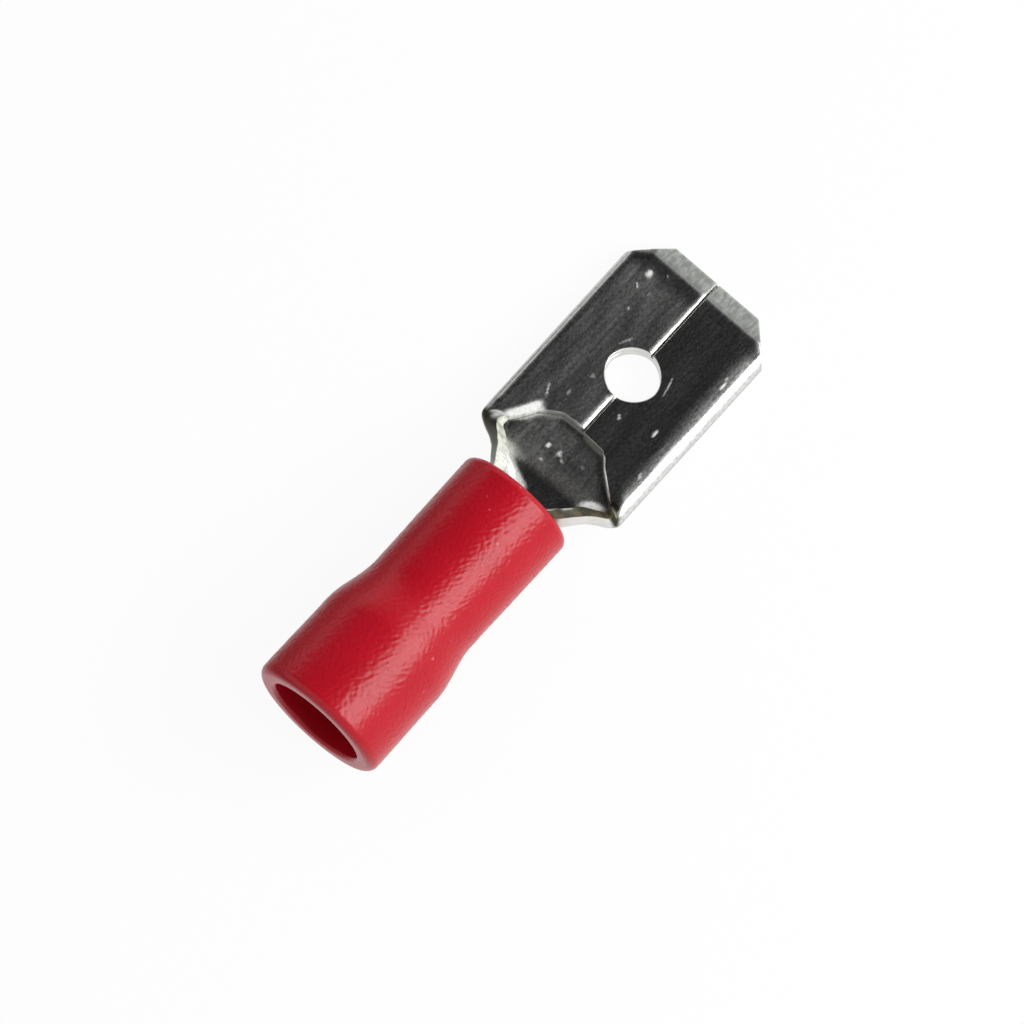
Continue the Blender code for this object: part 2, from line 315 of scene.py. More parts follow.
def halfShape(fromTip, side):
    # each row's half floor, fold radius, fold angle, arm and floor level on the sheet's middle line, how
    # far the flap stands open, and how much the wall runs aslant
    t = terminal
    s = sides[side]
    # where the wall runs aslant, its thickness across is more than the sheet's own
    step = 0.05
    change = alongTable(fromTip + step, s["wallOuter"]) - alongTable(fromTip - step, s["wallOuter"])
    slant = np.minimum(np.hypot(1, change / (2 * step)), t["mostSlant"])
    wallHalf = alongTable(fromTip, s["wallOuter"]) - t["sheet"] / 2 * slant
    foldRadius = np.minimum(alongTable(fromTip, s["foldRadius"]), wallHalf - 0.02)
    floorHalf = wallHalf - foldRadius
    foldAngle = np.radians(alongTable(fromTip, s["foldAngle"]))
    # the flap leaves the fold a little open and levels out, until it lifts
    curl = np.clip(np.pi - foldAngle, 0, math.radians(t["curl"])) * (1 - ease(fromTip, *t["curlEnds"]))

    arch = s["archFrom"]
    seam = mix(*t["seamHalfGap"], ease(fromTip, 0, arch))
    arm = flatHalf - np.maximum(side * t["seamPlace"] + seam, holeHalf(fromTip))
    startArm = flatHalf - s["archStart"]
    table = ((arch, arm[fromTip < arch][-1]), (arch + 0.02, startArm)) + s["arm"]
    arm = np.where(fromTip < arch, arm, alongTable(fromTip, table, 0.02))
    bend = (t["sheet"] + t["layerGap"]) / 2
    floorLevel = mix(-t["tabDrop"] - bend, -t["barrelRadius"], ease(fromTip, *t["floorSink"]))
    return floorHalf, foldRadius, foldAngle, arm, floorLevel, curl, slant


def boundaryDistance(along, across, edgeAlong, edgeAcross):
    # shortest distance from each point of the flat pattern to the polyline that the cut edge makes, a
    # batch of the line's pieces at a time
    batch = 16
    start = np.stack([edgeAlong[:-1], edgeAcross[:-1]], -1)
    step = np.stack([np.diff(edgeAlong), np.diff(edgeAcross)], -1)
    length = np.maximum((step**2).sum(-1), 1e-12)
    points = np.stack([along.ravel(), across.ravel()], -1)
    nearest = np.full(len(points), 1e9)
    for first in range(0, len(start), batch):
        s = start[first:first + batch]
        d = step[first:first + batch]
        offset = points[:, None, :] - s[None]
        share = np.clip((offset * d[None]).sum(-1) / length[first:first + batch][None], 0, 1)
        gap = np.linalg.norm(offset - share[..., None] * d[None], axis=-1)
        nearest = np.minimum(nearest, gap.min(1))
    return nearest.reshape(along.shape)


def roundedDrop(distance, radius):
    # how far a surface falls towards an edge that is rounded by a quarter circle
    inside = np.clip(radius - distance, 0, radius)
    return radius - np.sqrt(radius**2 - inside**2)


def alongSlant(along, aside, side):
    # place along the arch's slant, distance beside it, and its length
    start = np.array(sides[side]["bevelFrom"])
    way = np.array(sides[side]["bevelTo"]) - start
    length = np.hypot(*way)
    way = way / length
    run = (along - start[0]) * way[0] + (aside - start[1]) * way[1]
    beside = (aside - start[1]) * way[0] - (along - start[0]) * way[1]
    return run, beside, length


def bevelDrop(along, across, cut, side):
    # the sheared slant of the arch: a flat bevel beside the cut that fades at both of its ends
    s = sides[side]
    run, beside, length = alongSlant(along, np.abs(across), side)
    ends = ease(run, -0.06, 0.14) * (1 - ease(run, length - 0.25, length + 0.10))
    width = mix(*s["bevelWidth"], np.clip(run / length, 0, 1))
    return ends * s["bevelDepth"] * np.clip(1 - cut / width, 0, 1)


def seamSize(along, key, side):
    # the seam's groove grows from the tip to the arch
    return mix(*terminal[key], ease(along, terminal["seamGrowsFrom"], sides[side]["archFrom"]))


def seamDrop(along, toSeam, side):
    # the left flap rolls softly down into the seam: a parabola whose depth is reached at the cut
    t = terminal
    share = np.clip(1 - toSeam / seamSize(along, "seamWidth", side), 0, 1)
    fromHole = np.abs(along - t["holeFromTip"]) - t["holeHalfLength"]
    ends = ease(fromHole, 0.0, 0.14) * (along < sides[side]["archFrom"] - 0.01)
    return ends * seamSize(along, "seamDepth", side) * share**2


def sheetHalf(side):
    # outer and inner points (row, column, xyz) of one half, with its cut edges and its flat pattern
    t = terminal
    s = sides[side]
    rounding = t["edgeRounding"]
    frontEnd = t["holeFromTip"] - t["holeHalfLength"] - 2 * rounding - 0.02
    bevelStart = len(quarter)
    plainStart = bevelStart + t["bevelRows"]
    frontRows = plainStart + t["plainRows"]
    # every row in front of the hole has the plain tab's section
    fromTip = np.concatenate([np.full(frontRows, frontEnd - 1), stations()])
    floorHalf, foldRadius, foldAngle, arm, floorLevel, curl, slant = halfShape(fromTip, side)
    uncut = t["tabWidth"] / 2 - t["chamfer"]
    corner = uncut / flatHalf

    # floor columns follow the hole's rim, then spread out to the fold
    roundRows = rounding * (1 - np.cos(quarter))
    rimSide = np.stack([holeHalf(fromTip, grow) for grow in roundRows], 1)
    atCorner = asColumn(floorHalf) * corner
    inside, outside = t["floorColumns"]
    inner = mix(rimSide[:, -1:], atCorner, shares(inside))
    outer = mix(atCorner, asColumn(floorHalf), shares(outside)[:, :-1])
    floorY = np.concatenate([rimSide, inner, outer], 1)
    floorCount = floorY.shape[1]

    # arm columns, the last ones crowding towards the cut edge
    inSeam = (holeHalf(fromTip, 0.05) <= 0) & (fromTip < s["archFrom"] - 0.03)
    edge = asColumn(np.minimum(np.where(inSeam, seamSize(fromTip, "seamWidth", side), rounding), 0.4 * arm))
    armMain = asColumn(arm) - edge
    atCorner = armMain * (1 - corner)
    outside, inside = t["armColumns"]
    first = atCorner * shares(outside)
    second = mix(atCorner, armMain, shares(inside))
    last = armMain + edge * np.sin(np.linspace(0, np.pi / 2, t["seamColumns"] + 1))[None, 1:]
    armAlong = np.concatenate([first, second, last], 1)

    turns = asColumn(foldAngle) * np.linspace(0, 1, t["foldColumns"] + 1)[None]
    foldY = asColumn(floorHalf) + asColumn(foldRadius) * np.sin(turns)
    foldZ = asColumn(floorLevel) + asColumn(foldRadius) * (1 - np.cos(turns))
    # the arm leaves the fold at the fold's angle and levels out within the curl's length
    armTurn = asColumn(foldAngle) + asColumn(curl) * ease(armAlong, 0, t["curlLength"])
    steps = np.diff(armAlong, axis=1, prepend=0)
    middleTurn = (np.concatenate([asColumn(foldAngle), armTurn[:, :-1]], 1) + armTurn) / 2
    armY = foldY[:, -1:] + np.cumsum(steps * np.cos(middleTurn), 1)
    armZ = foldZ[:, -1:] + np.cumsum(steps * np.sin(middleTurn), 1)

    y = np.concatenate([floorY, foldY, armY], 1)
    z = np.concatenate([np.repeat(asColumn(floorLevel), floorCount, 1), foldZ, armZ], 1)
    turn = np.concatenate([np.zeros_like(floorY), turns, armTurn], 1)
    foldRun = asColumn(floorHalf) + asColumn(foldRadius) * turns
    foldEnd = asColumn(floorHalf) + asColumn(foldRadius * foldAngle)
    sheetRun = np.concatenate([floorY, foldRun, foldEnd + armAlong], 1)
    armStart = floorCount + t["foldColumns"] + 1

    made = {"rimOpen": holeHalf(fromTip) > 1e-6, "armStart": armStart}
    for face, sign in (("outer", 1), ("inner", -1)):
        half = t["sheet"] / 2 * mix(1, asColumn(slant), np.sin(turn))
        faceY = y + sign * half * np.sin(turn)
        # the front rows follow the tip, its cut corners and the start of its bevel
        cutBack = np.maximum(0, faceY[0] - uncut)
        along = np.repeat(asColumn(fromTip), y.shape[1], 1)
        bevelEnd = np.maximum(t["tipBevel"], cutBack + rounding + 0.08)
        along[:bevelStart] = cutBack[None] + roundRows[:, None]
        along[bevelStart:plainStart] = mix(cutBack + rounding, bevelEnd, shares(t["bevelRows"]).T)
        along[plainStart:frontRows] = mix(bevelEnd, frontEnd, shares(t["plainRows"]).T)

        corners = (along + (t["tabWidth"] / 2 - faceY) - t["chamfer"]) / math.sqrt(2)
        drop = roundedDrop(np.minimum(along, corners), rounding)
        rim = np.abs(holeDistance(along, y))
        drop[:, :armStart] = np.maximum(drop, roundedDrop(rim, rounding))[:, :armStart]
        armPlace = along[:, armStart:]
        cut = boundaryDistance(armPlace, armAlong, fromTip[frontRows:], arm[frontRows:])
        front = boundaryDistance(armPlace, armAlong, np.array([-1, frontEnd]), arm[[0, 0]])
        cut = np.minimum(cut, front)
        # the flaps' edges stay crisp in the seam
        crisp = 0.02 * asColumn(inSeam)
        armDrop = roundedDrop(cut + crisp, rounding * (0.9 if sign > 0 else 0.5))
        if sign > 0:
            armDrop = np.maximum(armDrop, bevelDrop(armPlace, faceY[:, armStart:], cut, side))
            if side > 0:
                armDrop = np.maximum(armDrop, seamDrop(armPlace, asColumn(arm) - armAlong, side))
        drop[:, armStart:] = np.maximum(drop[:, armStart:], armDrop)
        reach = np.maximum(half - drop, t["thinnest"])

        faceY = y + sign * reach * np.sin(turn)
        faceZ = z - sign * reach * np.cos(turn)
        # the coined tip thins both outer faces, its two corners a little too
        if sign > 0:
            slope = (2 * t["sheet"] + t["layerGap"] - t["tipThickness"]) / 2 / t["tipBevel"]
            most = t["tipThickness"] / 2 + slope * np.minimum(along, corners + s["cornerBevel"]) - drop
            offset = faceZ + t["tabDrop"]
            gap = np.abs(offset) - most
            thinner = (gap + np.sqrt(gap**2 + t["bevelSoftness"] ** 2)) / 2
            thinner = thinner * (1 - ease(along, *t["bevelFades"]))
            faceZ = faceZ - np.sign(offset) * np.minimum(thinner, np.abs(offset))
        made[face] = {
            "points": np.stack([terminalLength - along, side * faceY, faceZ], -1),
            "bare": bareEdge(cut + 2 * crisp, drop, along, armStart),
            "along": along,
            "across": side * sheetRun,
            "turn": np.degrees(turn),
        }
    return made


def bareEdge(cut, drop, along, armStart):
    # 1 on the cut edges, where the sheet was sheared after it was plated
    t = terminal
    bare = np.clip(drop / (t["edgeRounding"] * 0.9), 0, 1)
    bare[:, armStart:] = np.clip(1.3 - cut / t["edgeRounding"], 0, 1)
    bare[:, -1] = 1
    bare[np.abs(along[:, 0] - t["holeFromTip"]) < t["holeHalfLength"], 0] = 1
    return bare


def joinGrids(grids, strips, name, attributes):
    # one closed mesh from grids of points and quads that join them, points that coincide merged
    points = np.concatenate([g["points"].reshape(-1, 3) for g in grids])
    faces = np.concatenate([g["faces"] for g in grids] + strips)
    mesh = newMesh(name, toRow(points), faces)
    for key in attributes:
        addAttribute(mesh, key, np.concatenate([g[key].ravel() for g in grids]))
    shape = bmesh.new()
    shape.from_mesh(mesh)
    bmesh.ops.remove_doubles(shape, verts=shape.verts, dist=0.0005 * mm)
    bmesh.ops.dissolve_degenerate(shape, edges=shape.edges, dist=0.0002 * mm)
    bmesh.ops.recalc_face_normals(shape, faces=shape.faces)
    openEdges = sum(1 for e in shape.edges if not e.is_manifold)
    shape.to_mesh(mesh)
    shape.free()
    mesh.shade_smooth()
    print(name, len(mesh.polygons), "faces, open edges", openEdges)
    return mesh


# Small marks on the flaps: distance behind the tip, place across, length, width, turn in degrees, strength
topMarks = [
    (1.33, 1.96, 0.28, 0.20, 25, 0.85),
    (1.43, 2.02, 0.16, 0.12, 70, 0.7),
    (0.99, 1.40, 0.14, 0.06, -10, 0.6),
    (1.93, 2.02, 0.22, 0.06, 35, 0.7),
    (1.87, 1.47, 0.24, 0.05, -5, 0.5),
    (2.75, 1.68, 0.12, 0.08, 0, 0.6),
    (2.67, -2.58, 0.34, 0.09, 8, 0.8),
    (2.40, -2.52, 0.20, 0.05, -12, 0.4),
    (5.52, -1.95, 0.32, 0.11, 0, 1.0),
    (5.90, -0.63, 0.26, 0.07, 35, 0.8),
    (3.97, -1.19, 0.85, 0.06, 15, 0.6),
    (5.40, 1.02, 0.18, 0.14, 0, 0.4),
    (6.40, 1.25, 0.22, 0.08, 10, 0.5),
    (6.80, 1.86, 0.62, 0.06, 27, 0.6),
    (7.00, -2.55, 0.30, 0.08, 25, 0.5),
    (3.62, 0.95, 0.34, 0.07, -25, 0.45),
    (3.80, 1.05, 0.30, 0.05, -20, 0.35),
]
# The same on the floor under the arch, two of them painted highlights
floorMarksAndHighlights = [
    # painted highlight: a faint light line where the floor turns up into the left wall
    (8.45, 1.52, 1.10, 0.08, 0, 0.15),
    (9.05, 1.05, 0.30, 0.60, 0, 0.10),
    (8.18, 0.60, 0.20, 0.13, 20, 1.0),
    (8.74, 0.44, 0.16, 0.06, 35, 0.8),
    (8.16, 0.12, 0.22, 0.035, 0, 0.6),
    (8.25, -0.02, 0.20, 0.035, 10, 0.5),
    (8.32, -0.12, 0.18, 0.04, 25, 0.6),
    (8.05, -0.85, 0.20, 0.05, 10, 0.3),
    # painted reflection: a bright patch where the right fold mirrors the surround
    (8.90, -2.00, 0.92, 0.50, -59, 1.6),
]


def markField(along, across, marks):
    # each mark is a soft-edged ellipse; where marks meet the stronger shows
    field = np.zeros_like(along)
    for fromTip, place, length, width, turn, strength in marks:
        angle = math.radians(turn)
        a = along - fromTip
        b = across - place
        u = (a * math.cos(angle) - b * math.sin(angle)) / (length / 2)
        v = (a * math.sin(angle) + b * math.cos(angle)) / (width / 2)
        field = np.maximum(field, strength * np.exp(-((u**2 + v**2) ** 2.2)))
    return field


# Plane waves: height, rates along and across, start. A rolled sheet is never quite flat, and its stains
# are never even.
sheetWaves = (
    (0.0022, 0.35, 2.6, 0.6), (0.0012, -0.8, 5.3, 2.1), (0.0005, 1.1, 9.7, 0), (0.0010, 2.1, 1.3, 0))
blotches = ((0.1, 7.1, 3.0, 0), (0.1, -4.7, 11.3, 0))


def sumWaves(along, across, waves):
    return sum(height * np.sin(a * along + b * across + start) for height, a, b, start in waves)


def unevenness(along, across):
    # a slow wander between 0.6 and 1
    return 0.8 + sumWaves(along, across, blotches)


# Wear on the tin, and painted shade and painted highlights: a strength, and where it lies by the distance
# behind the tip, the distance aside from the middle and the fold's turn in degrees. It rises over two
# numbers and falls over the next two.
wearAndPaintedLight = {
    "dip": (1, {"along": (0.7, 1.3, 7.8, 8.3), "turn": (90, 150)}),
    "dullFloor": (1, {"along": (7.1, 7.4, 9, 9.3), "aside": (-2, -1, 1.6, 2.2), "turn": (-2, -1, 20, 50)}),
    "dullFlap": (1, {"along": (0.9, 1.6), "turn": (80, 110)}),
    "leftAll": (0.55, {}),
    "leftLine": (0.25, {"aside": (2.20, 2.45, 2.62, 2.87)}),
    "leftBand": (0.20, {"aside": (1.55, 1.80, 2.05, 2.30)}),
    "leftTip": (0.3, {"along": (-2, -1, 1.0, 3.5)}),
    "rightBand": (0.8, {"aside": (2.15, 2.75)}),
    # painted shade and dark reflection on the neck's bends, partly dull brass
    "shadedWall": (1, {"along": (8.55, 8.80, 10.8, 11.05), "turn": (45, 75)}),
    "shadedTrough": (0.7, {"along": (8.1, 8.4, 10.3, 10.6), "turn": (12, 40)}),
    "shadedEdge": (1, {"along": (8.35, 8.45, 10.8, 10.9)}),
    "shadedFlap": (1, {"along": (-2, -1, 8.80, 8.98), "aside": (2.1, 2.6), "turn": (80, 110)}),
    "nearFold": (1, {"aside": (2.72, 2.86)}),
    "nearNeck": (1, {"along": (8.20, 8.40)}),
    # a stretch of the right wall's inner edge left out of the painted shade
    "litStretch": (1, {"along": (9.40, 9.62, 9.85, 10.07)}),
    # painted highlights, white where the tin mirrors the lamp and the surround
    "wallHighlight": (0.8, {"along": (8.86, 8.98, 10.6, 10.72), "turn": (50, 60, 175, 185)}),
    "slantHighlight": (0.85, {"turn": (90, 125)}),
    "edgeHighlight": (0.7, {"along": (9.2, 9.8)}),
    "floorHighlight": (0.9, {"aside": (0.05, 0.35), "turn": (-2, -1, 25, 75)}),
}


def worn(grid, name):
    # the mask of one entry of the table above
    mask, limits = wearAndPaintedLight[name]
    for measure, ends in limits.items():
        mask = mask * ease(grid[measure], *ends[:2])
        if len(ends) > 2:
            mask = mask * (1 - ease(grid[measure], *ends[2:]))
    return mask


def foldSag(grid, side):
    # the flap falls a little before it reaches its fold, most on the right
    reach = np.clip((grid["aside"] - 2.2) / 0.75, 0, 1.3)
    return sides[side]["sag"] * reach**2 * worn(grid, "dip")


def hazeField(grid, side, sign):
    # rubbed lines that the folding tools left beside the folds, and the dull floor under the arch
    along, aside = grid["along"], grid["aside"]
    if sign < 0:
        return sides[side]["floorDull"] * worn(grid, "dullFloor") * unevenness(along, 1.7 * aside)
    if side > 0:
        rubbed = worn(grid, "leftAll") + worn(grid, "leftLine") + worn(grid, "leftBand")
        rubbed = rubbed * (1 + worn(grid, "leftTip"))
    else:
        rubbed = worn(grid, "rightBand")
    return worn(grid, "dullFlap") * rubbed * unevenness(0.4 * along, 2.0 * aside)


def tarnishAndShadeField(grid, side, sign):
    # near-black on the bends behind the shoulders: partly dull brass where the plating cracked, partly
    # painted shade and dark reflection
    along, aside, bare = grid["along"], grid["aside"], grid["bare"]
    onEdge = bare * worn(grid, "shadedEdge")
    if side > 0:
        shading = worn(grid, "shadedWall" if sign > 0 else "shadedTrough") * (1 - bare)
    elif sign > 0:
        # the painted shade's front runs aslant, from the arch back to the fold
        front = mix(7.55, 8.76, np.clip((aside - 2.2) / 0.95, 0, 1) ** 1.5)
        full = np.maximum(worn(grid, "nearFold"), worn(grid, "nearNeck"))
        shading = ease(along, front - 0.1, front + 0.25) * worn(grid, "shadedFlap") * mix(0.7, 1.0, full)
        shading = np.maximum(shading, onEdge)
    else:
        # one stretch of the right wall's inner edge is left out of the painted shade and stays light
        shading = onEdge * (1 - worn(grid, "litStretch"))
    return np.clip(shading * (0.75 + 0.5 * unevenness(along, aside)), 0, 1)


def slantBand(along, aside):
    # a soft band beside the left slant of the arch, narrower towards its end
    run, beside, length = alongSlant(along, aside, 1)
    width = mix(0.22, 0.15, run / length)
    ends = ease(run, -0.14, 0.22) * (1 - ease(run, length - 0.10, length + 0.26))
    return ends * ease(beside, -0.52, -0.30) * (1 - ease(beside, width, width + 0.22))


def paintedHighlights(grid, side, sign):
    # painted highlights in white, for the lamp and surround that the tin mirrors: the right wall's outside,
    # and on the left the slant's bevel, the cut edge and the floor before the sleeve
    along, aside, bare = grid["along"], grid["aside"], grid["bare"]
    if side < 0:
        return (sign > 0) * worn(grid, "wallHighlight") * (1 - bare)
    slant = slantBand(along, aside) * worn(grid, "slantHighlight")
    edge = bare * worn(grid, "edgeHighlight")
    if sign > 0:
        return np.maximum(slant, edge)
    front = mix(9.63, 9.13, (aside - 0.2) / 1.2)
    patch = ease(along, front, front + 0.25) * worn(grid, "floorHighlight")
    return np.maximum(patch, np.maximum(slant * bare, edge))


# The left shoulder's bulge
knob = {
    "fromTip": 8.72,
    "across": 2.60,
    "radius": 0.14,
    "height": 0.05,
}


def knobField(grid):
    away = np.hypot(grid["along"] - knob["fromTip"], grid["points"][..., 1] - knob["across"])
    return np.exp(-((away / knob["radius"]) ** 2)) * (grid["turn"] > 80)


# What the mesh tells the material at each point
sheetMasks = ("along", "across", "scuff", "bare", "haze", "tarnish")


def buildTerminal(material):
    grids = []
    strips = []
    first = 0
    for side in (1, -1):
        half = sheetHalf(side)
        arm = half["armStart"]
        starts = []
        for face, sign in (("outer", 1), ("inner", -1)):
            grid = half[face]
            points = grid["points"]
            rows, columns = points.shape[:2]
            # the marks lie on the flaps' upper face and on the floor, and stand a little out of it
            part = np.s_[:, arm:] if sign > 0 else np.s_[:, :arm]
            marks, rise = (topMarks, 0.006) if sign > 0 else (floorMarksAndHighlights, 0.005)
            along, across, height = grid["along"], points[..., 1], points[..., 2]
            grid["aside"] = np.abs(across)
            scuff = np.zeros((rows, columns))
            scuff[part] = markField(along[part], across[part], marks)
            height[part] += rise * scuff[part]
            if sign > 0:
                height[part] += sumWaves(along[part], across[part], sheetWaves)
                height -= foldSag(grid, side)
            if side > 0 and sign > 0:
                bulge = knobField(grid)
                height += knob["height"] * bulge
                scuff = np.maximum(scuff, bulge)
            # the marks, the bulge and the painted highlights share one white
            grid["scuff"] = np.maximum(scuff, paintedHighlights(grid, side, sign))
            grid["haze"] = hazeField(grid, side, sign)
            # painted shade and dark reflection on the neck's bends, partly dull brass
            grid["tarnish"] = tarnishAndShadeField(grid, side, sign)
            grid["faces"] = gridFaces(rows, columns, first)
            starts.append(first)
            first += rows * columns
            grids.append(grid)
        # strips close the cut edges between the outer and the inner face
        rim = half["rimOpen"]
        row = np.arange(rows - 1) * columns
        for edge, kept in ((row + columns - 1, np.ones(rows - 1, bool)), (row, rim[:-1] | rim[1:])):
            strips.append(quads(starts[0] + edge, starts[1] + edge, columns)[kept])
        for edgeRow in (0, rows - 1):
            edge = edgeRow * columns + np.arange(columns - 1)
            strips.append(quads(starts[0] + edge, starts[1] + edge, 1))
    return newPiece("tinned_terminal", joinGrids(grids, strips, "tinned_terminal", sheetMasks), material)


# Sleeve: a profile of (along, radius) turned about the terminal's axis
def arcPoints(centre, radius, start, end, count):
    angle = np.radians(np.linspace(start, end, count))
    return np.stack([centre[0] + radius * np.cos(angle), centre[1] + radius * np.sin(angle)], -1)


def curvePoints(start, end, step):
    # leaves start level and arrives at end level
    count = max(2, int(math.hypot(end[0] - start[0], end[1] - start[1]) / step) + 1)
    share = shares(count)[0]
    return np.stack([mix(start[0], end[0], share), mix(start[1], end[1], ease(share, 0, 1))], -1)


def sleeveProfile():
    # the outside from the front to the mouth, and the inside back to the front
    s = sleeve
    front = s["length"]
    frontRadius = s["boreRadius"] + s["frontWall"]
    bell = s["entryRadius"] + s["bellWall"]
    crown = (front - s["frontRounding"], frontRadius)
    waist = (s["bellLength"] + s["flareLength"], s["boreRadius"] + s["waistWall"])
    flareEnd = (s["bellLength"], bell - s["bellTaper"])
    lip = s["lipRounding"]
    outside = np.concatenate([
        arcPoints((crown[0], frontRadius - s["frontRounding"]), s["frontRounding"], 0, 90, 10),
        curvePoints(crown, waist, s["step"]),
        curvePoints(waist, flareEnd, s["step"]),
        curvePoints(flareEnd, (lip, bell), s["step"]),
        arcPoints((lip, bell - lip), lip, 90, 180, 12)[1:],
    ])
    end = s["entryRounding"]
    boreEnd = (front - terminal["barrelLength"] - 0.10, s["boreRadius"])
    boreStart = (boreEnd[0] - s["funnelLength"], s["entryRadius"])
    inside = np.concatenate([
        arcPoints((end, s["entryRadius"] + end), end, 180, 270, 7),
        curvePoints((end, s["entryRadius"]), boreStart, 0.35),
        curvePoints(boreStart, boreEnd, 0.12),
        curvePoints(boreEnd, (front - s["leadLength"], s["boreRadius"]), 0.5),
        np.array([[front - s["leadLength"] * 0.5, s["boreRadius"] + s["leadDepth"] * 0.5]]),
        arcPoints((front - 0.08, s["boreRadius"] + s["leadDepth"] + 0.08), 0.08, 270, 360, 5),
    ])
    return outside, inside


def strokeField(outside, columns, stepAlong, stepRound):
    # random waves kept to short strokes that lean one way or the other by sectors, and to rounded
    # peel, all closing round the sleeve
    rows = len(outside)
    random = np.random.default_rng(relief["seed"])
    along = np.fft.fftfreq(rows, stepAlong)[:, None]
    around = np.fft.fftfreq(columns, stepRound)[None, :]
    angle = np.linspace(0, 2 * np.pi, columns, endpoint=False)[None]
    wander = relief["wander"] * np.sin(np.arange(rows)[:, None] * stepAlong * relief["wanderRate"])
    lean = np.sin(relief["sectors"] * (angle + math.radians(relief["sectorTurn"])) + wander)

    def filtered(keep):
        waves = np.fft.ifft2(np.fft.fft2(random.standard_normal((rows, columns))) * keep).real
        return waves / waves.std()

    total = np.zeros((rows, columns))
    for sign in (1, -1):
        turn = math.radians(sign * relief["angle"])
        lengthways = along * math.cos(turn) + around * math.sin(turn)
        crossways = -along * math.sin(turn) + around * math.cos(turn)
        keep = np.exp(-((lengthways * relief["strokeLength"]) ** 2) * 4)
        keep = keep * np.exp(-((np.abs(crossways) * relief["strokeWidth"] * 2 - 0.75) ** 2) * 5)
        total += relief["depth"] * 0.5 * (0.5 + 0.25 * sign * lean) * filtered(keep)
    size = np.hypot(along, around) * relief["peelSize"]
    return total + relief["peel"] * 0.5 * filtered(np.exp(-((size - 0.6) ** 2) * 6))


def buildSleeve(material):
    s = sleeve
    outside, inside = sleeveProfile()
    rows = len(outside)
    columns = s["segments"]
    profile = np.concatenate([outside, inside])
    angle = np.linspace(0, 2 * np.pi, columns, endpoint=False)[None]
    radius = np.repeat(profile[:, 1:], columns, 1)
    field = strokeField(outside, columns, s["step"], 2 * np.pi * relief["meanRadius"] / columns)
    # the skin is smooth at the mouth and at the front
    mouth, front = relief["fades"]
    lipFade = ease(outside[:, :1], 0, mouth) * ease(s["length"] - outside[:, :1], 0, front)
    # the whole skin is sunk a little, so that no stroke stands past the part's own outline
    radius[:rows] += (np.clip(field, -relief["most"], relief["most"]) - relief["sunk"]) * lipFade
    along = np.repeat(profile[:, :1], columns, 1)
    points = np.stack([along, radius * np.sin(angle), radius * np.cos(angle)], -1)
    count = len(profile)
    # the last ring joins the first
    ring = np.arange(columns)
    last = (count - 1) * columns
    closing = quads(last + ring, last + (ring + 1) % columns, -last)
    grid = {"points": points, "faces": gridFaces(count, columns, 0, True)}
    mesh = joinGrids([grid], [closing], "red_sleeve", ())
    return newPiece("red_sleeve", mesh, material)


# Materials
def newMaterial(name):
    material = bpy.data.materials.new(name)
    material.use_nodes = True
    tree = material.node_tree
    return material, tree, tree.nodes["Principled BSDF"]


def plug(tree, value, socket):
    # an output is linked; a number or a colour is set
    if isinstance(value, bpy.types.NodeSocket):
        tree.links.new(value, socket)
    elif socket.type == "RGBA":
        socket.default_value = (*value, 1.0)
    else:
        socket.default_value = value


def addNode(tree, kind, **settings):
    # a setting goes to the socket of its name, or else to the node itself
    node = tree.nodes.new(kind)
    for key, value in settings.items():
        if key in node.inputs:
            plug(tree, value, node.inputs[key])
        else:
            setattr(node, key, value)
    return node


def addNoise(tree, vector, scale, detail=2.0, roughness=0.5):
    settings = {"Vector": vector, "Scale": scale, "Detail": detail, "Roughness": roughness}
    return addNode(tree, "ShaderNodeTexNoise", **settings).outputs["Fac"]


def addRange(tree, value, low, high, newLow=0.0, newHigh=1.0):
    node = addNode(tree, "ShaderNodeMapRange", interpolation_type="SMOOTHSTEP", Value=value)
    for socket, number in zip(("From Min", "From Max", "To Min", "To Max"), (low, high, newLow, newHigh)):
        node.inputs[socket].default_value = number
    return node.outputs["Result"]


def addMath(tree, operation, first, second):
    node = addNode(tree, "ShaderNodeMath", operation=operation)
    plug(tree, first, node.inputs[0])
    plug(tree, second, node.inputs[1])
    return node.outputs["Value"]


def addMix(tree, share, first, second):
    node = addNode(tree, "ShaderNodeMix", data_type="RGBA")
    for number, value in ((0, share), (6, first), (7, second)):
        plug(tree, value, node.inputs[number])
    return node.outputs[2]


def sheetNoise(tree, along, across, pattern):
    # noise on the sheet's flat pattern, so that streaks run along the sheet and round its folds
    stretchAlong, stretchAcross, detail, roughness = pattern
    x = addMath(tree, "MULTIPLY", along, stretchAlong)
    y = addMath(tree, "MULTIPLY", across, stretchAcross)
    place = addNode(tree, "ShaderNodeCombineXYZ", X=x, Y=y).outputs["Vector"]
    return addNoise(tree, place, 1.0, detail, roughness)


def addBump(tree, surface, height, bump):
    strength, distance = bump
    node = addNode(tree, "ShaderNodeBump", Strength=strength, Distance=distance, Height=height)
    plug(tree, node.outputs["Normal"], surface.inputs["Normal"])


# A few bright grains caught in a surface: a mask that is 1 where the noise peaks
def grainGroup():
    group = bpy.data.node_groups.new("caughtGrains", "ShaderNodeTree")
    for name, kind in (("Vector", "Vector"), ("Scale", "Float"), ("Rarity", "Float")):
        group.interface.new_socket(name, in_out="INPUT", socket_type="NodeSocket" + kind)
    group.interface.new_socket("Mask", in_out="OUTPUT", socket_type="NodeSocketFloat")
    entry = group.nodes.new("NodeGroupInput")
    result = group.nodes.new("NodeGroupOutput")
    noise = addNoise(group, entry.outputs["Vector"], entry.outputs["Scale"], 1.0, 0.4)
    mask = addRange(group, addMath(group, "SUBTRACT", noise, entry.outputs["Rarity"]), 0.0, 0.04)
    group.links.new(mask, result.inputs["Mask"])
    return group


grains = grainGroup()


# The part of the noise's range that a mask uses: the narrower, the crisper
wholeNoise = (0.3, 0.7)
middleNoise = (0.35, 0.65)
crispNoise = (0.38, 0.62)

